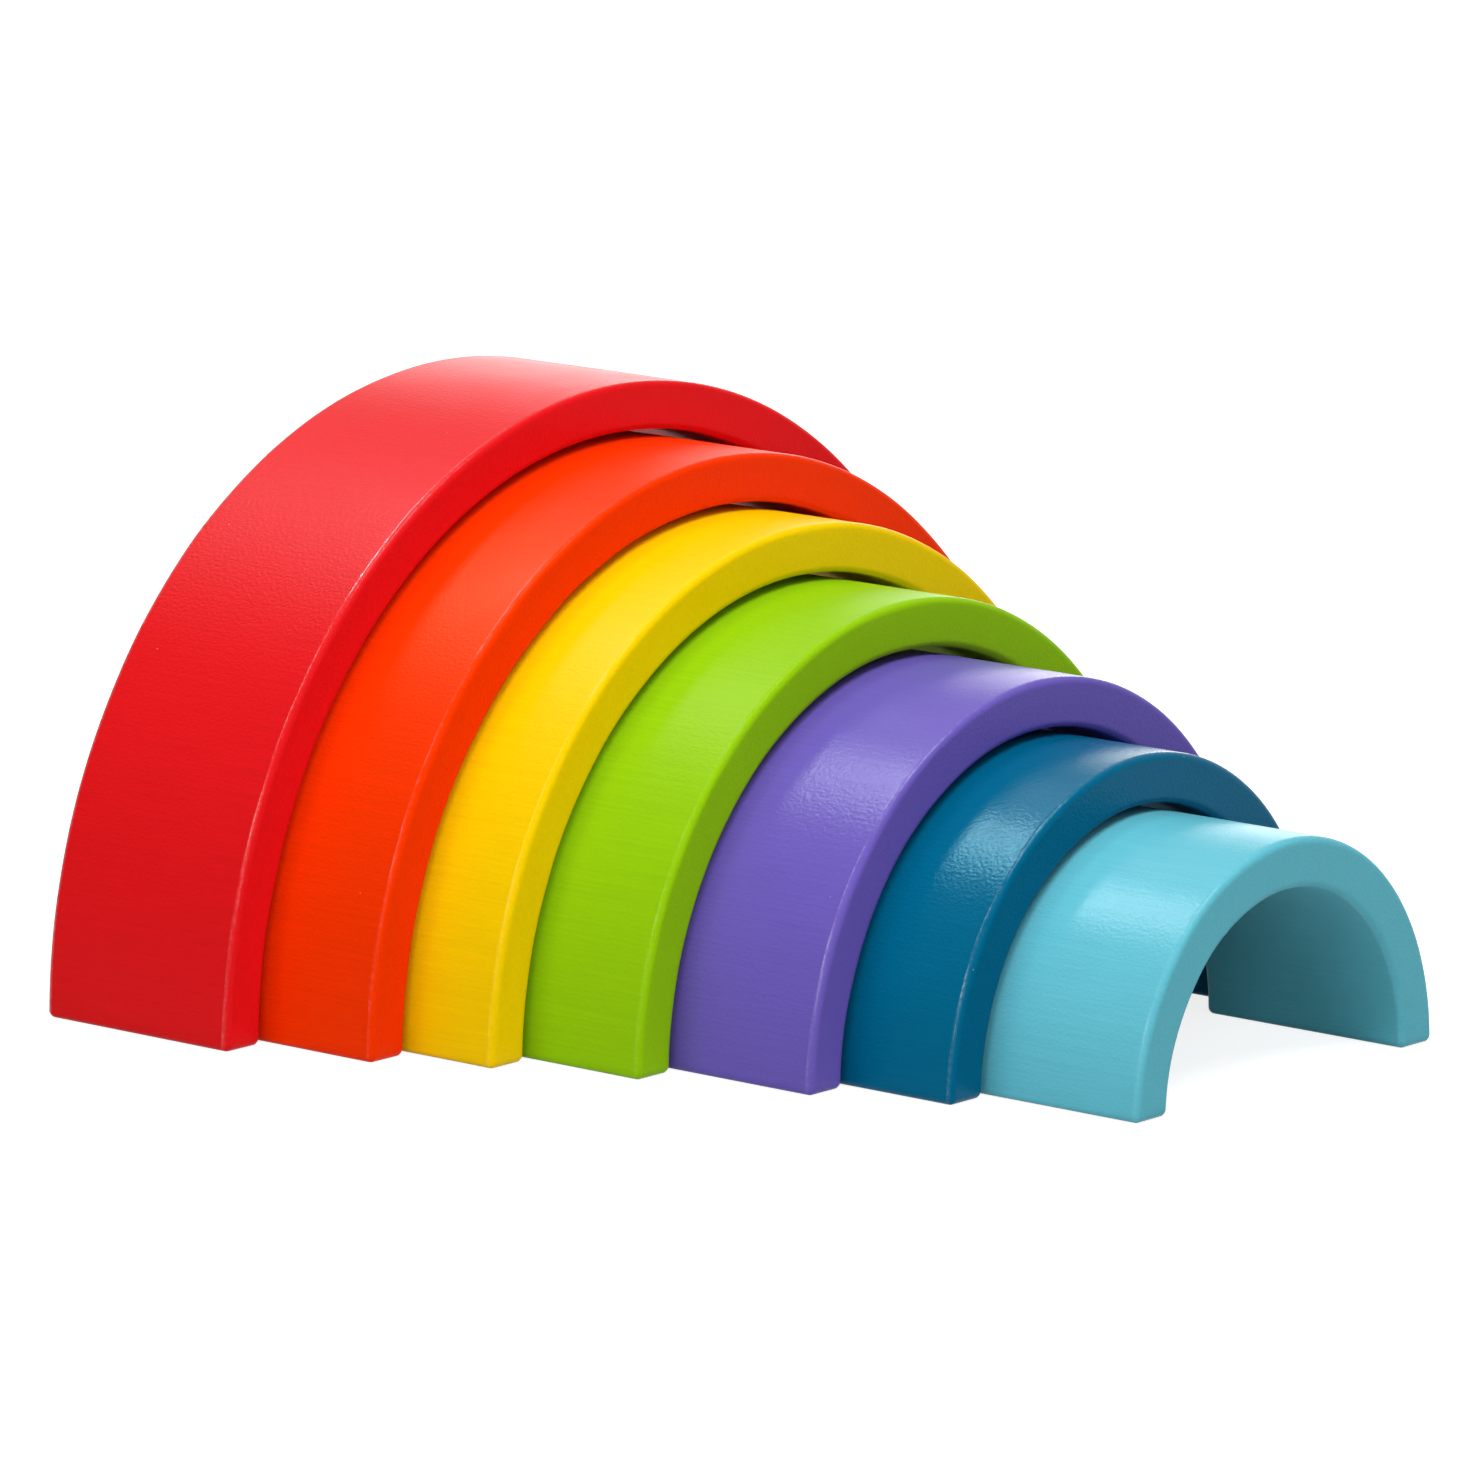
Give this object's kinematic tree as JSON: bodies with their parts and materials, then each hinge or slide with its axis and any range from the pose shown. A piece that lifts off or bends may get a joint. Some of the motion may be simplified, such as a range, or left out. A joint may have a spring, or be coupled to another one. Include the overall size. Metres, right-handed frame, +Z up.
{
  "type": "rainbow stacking toy",
  "caption": "Painted wooden rainbow stacker: half-ring arches that nest in one another and slide out into a stepped tunnel.",
  "frame": {"origin": "on the floor, below the middle of the spread-out set", "axes": "+X across the feet, +Y to the back, where the largest arch stands, +Z up"},
  "size_m": [0.245, 0.2258, 0.1225],
  "materials": {
    "red_paint": "semi-gloss paint over solid wood",
    "orange_paint": "semi-gloss paint over solid wood",
    "yellow_paint": "semi-gloss paint over solid wood",
    "green_paint": "semi-gloss paint over solid wood",
    "purple_paint": "semi-gloss paint over solid wood",
    "teal_paint": "semi-gloss paint over solid wood",
    "turquoise_paint": "semi-gloss paint over solid wood"
  },
  "bodies": {
    "red_arch": {"red_arch": "red_paint"},
    "orange_arch": {"orange_arch": "orange_paint"},
    "yellow_arch": {"yellow_arch": "yellow_paint"},
    "green_arch": {"green_arch": "green_paint"},
    "purple_arch": {"purple_arch": "purple_paint"},
    "teal_arch": {"teal_arch": "teal_paint"},
    "turquoise_arch": {"turquoise_arch": "turquoise_paint"}
  },
  "joints": [
    {"name": "orange_slide", "type": "slide", "parent": "red_arch", "child": "orange_arch", "axis": [0, -1, 0], "range_m": [-0.0282, 0.0238]},
    {"name": "yellow_slide", "type": "slide", "parent": "orange_arch", "child": "yellow_arch", "axis": [0, -1, 0], "range_m": [-0.0216, 0.0304]},
    {"name": "green_slide", "type": "slide", "parent": "yellow_arch", "child": "green_arch", "axis": [0, -1, 0], "range_m": [-0.0283, 0.0237]},
    {"name": "purple_slide", "type": "slide", "parent": "green_arch", "child": "purple_arch", "axis": [0, -1, 0], "range_m": [-0.0346, 0.0174]},
    {"name": "teal_slide", "type": "slide", "parent": "purple_arch", "child": "teal_arch", "axis": [0, -1, 0], "range_m": [-0.0261, 0.0259]},
    {"name": "turquoise_slide", "type": "slide", "parent": "teal_arch", "child": "turquoise_arch", "axis": [0, -1, 0], "range_m": [-0.0371, 0.0149]}
  ]
}
